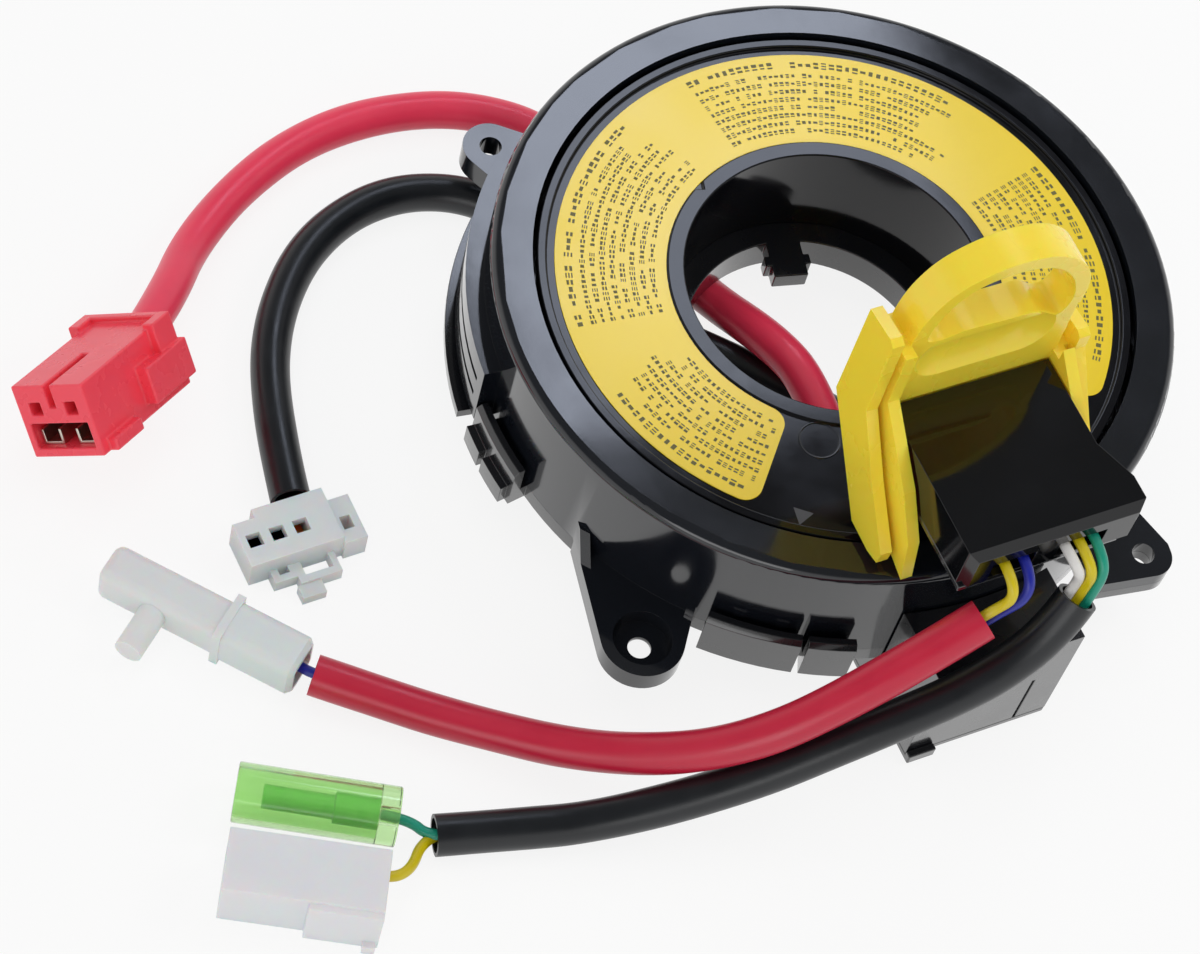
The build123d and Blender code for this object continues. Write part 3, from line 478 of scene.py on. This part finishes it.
clear_wires = thin_wire("clear_connector_lead", [
    mouth_spot(WHEEL_RED[-1], WHEEL_RED[-2], -6.0, 0.0, 0.3), mouth_spot(WHEEL_RED[-1], WHEEL_RED[-2], 0.2,
                                                                         0.0, 0.3),
    connector_point(CLEAR_POSE, 0.4, 0.0, 4.2), connector_point(CLEAR_POSE, 6.0, 0.0, 4.2)],
    "clear_connector_wires", "blue", "housing")
bullet_wire = thin_wire("bullet_lead", [
    mouth_spot(WHEEL_BLACK[-1], WHEEL_BLACK[-2], -6.0, 0.8, 0.8), mouth_spot(WHEEL_BLACK[-1],
                                                                             WHEEL_BLACK[-2], 0.8, 0.8, 0.8),
    connector_point(BULLET_POSE, -1.5, 0, 4.7), connector_point(BULLET_POSE, 3.4, 0, 4.7)],
    "bullet_wire", "green", "housing")
two_way_wire = thin_wire("two_way_lead", [
    mouth_spot(WHEEL_BLACK[-1], WHEEL_BLACK[-2], -6.0, -1.1, -0.6), mouth_spot(WHEEL_BLACK[-1],
                                                                               WHEEL_BLACK[-2], 1.2, -1.1,
                                                                               -0.6),
    connector_point(TWO_WAY_POSE, -3.0, -2.4, 7.0), connector_point(TWO_WAY_POSE, 0.6, -2.4, 7.0)],
    "two_way_wire", "yellow", "housing")

sleeve("column_red_lead", COLUMN_RED, "housing", "column_red_sleeve",
       sleeve_red_painted_lit)
sleeve("column_black_lead", COLUMN_BLACK, "housing",
       "column_black_sleeve", sleeve_black)
sleeve("wheel_red_lead", WHEEL_RED, "rotor", "wheel_red_sleeve",
       sleeve_red)
sleeve("wheel_black_lead", WHEEL_BLACK, "rotor", "wheel_black_sleeve",
       sleeve_black)


# ---------------------------------------------------------------- print on the label

# a mark's strokes: place along and across it, height and width, as shares of its own height and width
MARK_SHAPES = (
    ((-0.36, 0.0, 0.17, 0.86), (0.0, 0.0, 0.17, 0.86), (0.36, 0.0, 0.17, 0.86)),
    ((-0.25, 0.0, 0.3, 0.84), (0.25, 0.0, 0.3, 0.84)),
    ((0.0, 0.0, 0.62, 0.7),),
    ((-0.3, 0.0, 0.2, 0.86), (0.2, 0.0, 0.42, 0.86)),
    ((0.0, 0.0, 0.4, 0.86),),
)


def print_tree():
    """Rows of small plain marks around the hub, with random gaps between them."""
    tree = bpy.data.node_groups.new("label_print", "GeometryNodeTree")
    face = tree.interface
    face.new_socket("Geometry", in_out="OUTPUT", socket_type="NodeSocketGeometry")
    for name, kind in (("Rows", "NodeSocketInt"), ("Columns", "NodeSocketInt"), ("Inner Radius",
                                                                                 "NodeSocketFloat"),
                       ("Row Pitch", "NodeSocketFloat"), ("Mark Pitch", "NodeSocketFloat"), ("Mark Width",
                                                                                             "NodeSocketFloat"),
                       ("Mark Height", "NodeSocketFloat"), ("Start", "NodeSocketFloat"), ("Sweep",
                                                                                          "NodeSocketFloat"),
                       ("Level", "NodeSocketFloat"), ("Gap Share", "NodeSocketFloat"), ("Seed",
                                                                                        "NodeSocketInt"),
                       ("Ink", "NodeSocketMaterial")):
        face.new_socket(name, in_out="INPUT", socket_type=kind)
    given = add(tree, "NodeGroupInput").outputs

    def sums(operation, a, b):
        return add(tree, "ShaderNodeMath", {"operation": operation}, {0: a, 1: b}).outputs[0]

    count = sums("MULTIPLY", given["Rows"], given["Columns"])
    spots = add(tree, "GeometryNodePoints", None, {"Count": count})
    index = add(tree, "GeometryNodeInputIndex").outputs[0]
    row = sums("FLOOR", sums("DIVIDE", sums("ADD", index, 0.5), given["Columns"]), 0.0)
    column = sums("SUBTRACT", index, sums("MULTIPLY", row, given["Columns"]))
    radius = sums("ADD", given["Inner Radius"], sums("MULTIPLY", row, given["Row Pitch"]))
    turn = sums("DIVIDE", sums("MULTIPLY", column, given["Mark Pitch"]), radius)
    azimuth = sums("SUBTRACT", given["Start"], turn)
    spot = add(tree, "ShaderNodeCombineXYZ", None, {"X": sums("MULTIPLY", radius, sums("COSINE", azimuth,
                                                                                       0.0)),
               "Y": sums("MULTIPLY", radius, sums("SINE", azimuth, 0.0)), "Z": given["Level"]})
    laid = add(tree, "GeometryNodeSetPosition", None, {"Geometry": spots.outputs[0],
                                                       "Position": spot.outputs[0]})
    ragged = add(tree, "FunctionNodeRandomValue", {"data_type": "FLOAT"}, {2: 0.72, 3: 1.0, "ID": row,
                                                                           "Seed": given["Seed"]})
    beyond = sums("GREATER_THAN", turn, sums("MULTIPLY", given["Sweep"], ragged.outputs[1]))
    gap = add(tree, "FunctionNodeRandomValue", {"data_type": "BOOLEAN"}, {"Probability": given["Gap Share"],
                                                                          "ID": index,
              "Seed": given["Seed"]})
    dropped = add(tree, "FunctionNodeBooleanMath", {"operation": "OR"}, {0: beyond, 1: gap.outputs[3]})
    kept = add(tree, "GeometryNodeDeleteGeometry", {"domain": "POINT"}, {"Geometry": laid.outputs[0],
                                                                         "Selection": dropped.outputs[0]})
    shapes = add(tree, "GeometryNodeJoinGeometry")
    for strokes in MARK_SHAPES:
        shape = add(tree, "GeometryNodeJoinGeometry")
        for along, across, tall, wide in strokes:
            stroke = add(tree, "GeometryNodeMeshGrid", None, {"Size X": sums("MULTIPLY",
                                                                             given["Mark Height"], tall),
                         "Size Y": sums("MULTIPLY", given["Mark Width"], wide), "Vertices X": 2,
                         "Vertices Y": 2})
            shift = add(tree, "ShaderNodeCombineXYZ", None, {"X": sums("MULTIPLY", given["Mark Height"],
                                                                       along),
                        "Y": sums("MULTIPLY", given["Mark Width"], across)})
            moved = add(tree, "GeometryNodeTransform", None, {"Geometry": stroke.outputs["Mesh"],
                                                              "Translation": shift.outputs[0]})
            tree.links.new(moved.outputs[0], shape.inputs[0])
        one = add(tree, "GeometryNodeGeometryToInstance", None, {"Geometry": shape.outputs[0]})
        tree.links.new(one.outputs[0], shapes.inputs[0])
    pick = add(tree, "FunctionNodeRandomValue", {"data_type": "INT"},
               {4: 0, 5: len(MARK_SHAPES) - 1, "ID": index, "Seed": given["Seed"]})
    azimuth_kept = add(tree, "ShaderNodeCombineXYZ", None, {"Z": azimuth})
    vary = add(tree, "FunctionNodeRandomValue", {"data_type": "FLOAT_VECTOR"}, {0: (0.8, 0.75, 1.0), 1: (1.0,
                                                                                                         1.0,
                                                                                                         1.0),
               "ID": index, "Seed": given["Seed"]})
    held = add(tree, "GeometryNodeStoreNamedAttribute", {"data_type": "FLOAT_VECTOR", "domain": "POINT"},
               {"Geometry": laid.outputs[0], "Name": "turn", "Value": azimuth_kept.outputs[0]})
    held = add(tree, "GeometryNodeStoreNamedAttribute", {"data_type": "FLOAT_VECTOR", "domain": "POINT"},
               {"Geometry": held.outputs[0], "Name": "stretch", "Value": vary.outputs[0]})
    tree.links.new(held.outputs[0], kept.inputs["Geometry"])
    turned = add(tree, "GeometryNodeInputNamedAttribute", {"data_type": "FLOAT_VECTOR"}, {"Name": "turn"})
    stretched = add(tree, "GeometryNodeInputNamedAttribute", {"data_type": "FLOAT_VECTOR"},
                    {"Name": "stretch"})
    rows = add(tree, "GeometryNodeInstanceOnPoints", None, {
               "Points": kept.outputs[0], "Instance": shapes.outputs[0], "Pick Instance": True,
               "Instance Index": pick.outputs[2], "Rotation": turned.outputs[0],
               "Scale": stretched.outputs[0]})
    solid = add(tree, "GeometryNodeRealizeInstances", None, {"Geometry": rows.outputs[0]})
    inked = add(tree, "GeometryNodeSetMaterial", None, {"Geometry": solid.outputs[0],
                                                        "Material": given["Ink"]})
    out = add(tree, "NodeGroupOutput")
    tree.links.new(inked.outputs[0], out.inputs[0])
    return tree


def printed(tree, label, values):
    """One field of print, as a plain mesh."""
    draft = collect(label + "_draft", bpy.data.meshes.new(label + "_draft"))
    marks = draft.modifiers.new("marks", "NODES")
    marks.node_group = tree
    sockets = {item.name: item.identifier for item in tree.interface.items_tree if item.in_out == "INPUT"}
    for name, value in values.items():
        marks[sockets[name]] = value
    mesh = flattened(draft)
    bpy.data.objects.remove(draft)
    return mesh


LABEL_TOP = 23.7
PRINT_LIFT = 0.02        # flat print lies this far above its surface, in mm
tree = print_tree()
# each field of print: the azimuth where it starts and how far it runs clockwise, in degrees
fields = [(234.0, 39.0), (182.0, 60.0), (107.0, 74.0), (22.0, 57.0)]
# rows, first radius, row pitch, mark height, mark pitch (mm), and the share of marks left out
PRINT_ROWS = ((8, 30.3, 1.62, 1.15, 0.98, 0.13), (1, 43.9, 1.0, 1.6, 1.35, 0.10))
marks = bmesh.new()
for k, (start, sweep_deg) in enumerate(fields):
    for rows, inner, pitch, height, step, share in PRINT_ROWS:
        part = printed(tree, "print_field", {
            "Rows": rows, "Columns": 90, "Inner Radius": inner * MM, "Row Pitch": pitch * MM,
            "Mark Pitch": step * MM,
            "Mark Width": 0.86 * step * MM, "Mark Height": height * MM, "Start": math.radians(start),
            "Sweep": math.radians(sweep_deg), "Level": (LABEL_TOP + PRINT_LIFT) * MM, "Gap Share": share,
            "Seed": 11 + 3 * k,
            "Ink": label_ink})
        marks.from_mesh(part)
        bpy.data.meshes.remove(part)
for face in marks.faces:
    if face.normal.z < 0:
        face.normal_flip()
print_mesh = bpy.data.meshes.new("label_print")
marks.to_mesh(print_mesh)
marks.free()
label_print = collect("label_print", print_mesh, label_ink)
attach(label_print, "rotor")

# on the black plate: two small arrow marks, and the ring that the mould's ejector leaves
PLATE_LEVEL = 23.5
marks = bmesh.new()
for x, y, size in ((-18.7, -41.3, 1.9), (-21.1, -45.4, 1.4)):
    marks.faces.new([marks.verts.new(((x + size * math.cos(a)) * MM, (y + size * math.sin(a)) * MM,
                                      (PLATE_LEVEL + PRINT_LIFT) * MM))
                     for a in (math.radians(-120), 0.0, math.radians(120))])
arrow_mesh = bpy.data.meshes.new("arrow_marks")
marks.to_mesh(arrow_mesh)
marks.free()
arrow_marks = collect("arrow_marks", arrow_mesh, pad_print)
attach(arrow_marks, "rotor")

lip = bmesh.new()
profile = ((3.05, 0.0), (3.15, 0.09), (3.35, 0.13), (3.5, 0.0))
loops = [[lip.verts.new(((-11.9 + r * math.cos(a)) * MM, (-28.6 + r * math.sin(a)) * MM,
                         (PLATE_LEVEL + h) * MM))
          for a in (math.tau * k / 48 for k in range(48))] for r, h in profile]
for inner, outer in zip(loops, loops[1:]):
    for k in range(48):
        lip.faces.new((inner[k - 1], outer[k - 1], outer[k], inner[k])).smooth = True
bmesh.ops.recalc_face_normals(lip, faces=lip.faces)
if sum(f.normal.z for f in lip.faces) < 0:
    bmesh.ops.reverse_faces(lip, faces=lip.faces)
ring_mesh = bpy.data.meshes.new("ejector_ring")
lip.to_mesh(ring_mesh)
lip.free()
ejector_ring = collect("ejector_ring", ring_mesh, gloss_abs)
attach(ejector_ring, "rotor")

LOOKS = {"outer_carrier": satin_pbt, "inner_carrier": satin_pbt, "outer_terminals": brass,
         "inner_terminals": brass,
         "ribbon_cable": ribbon_film}
for name, look in LOOKS.items():
    nodes[name].data.materials.clear()
    nodes[name].data.materials.append(look)
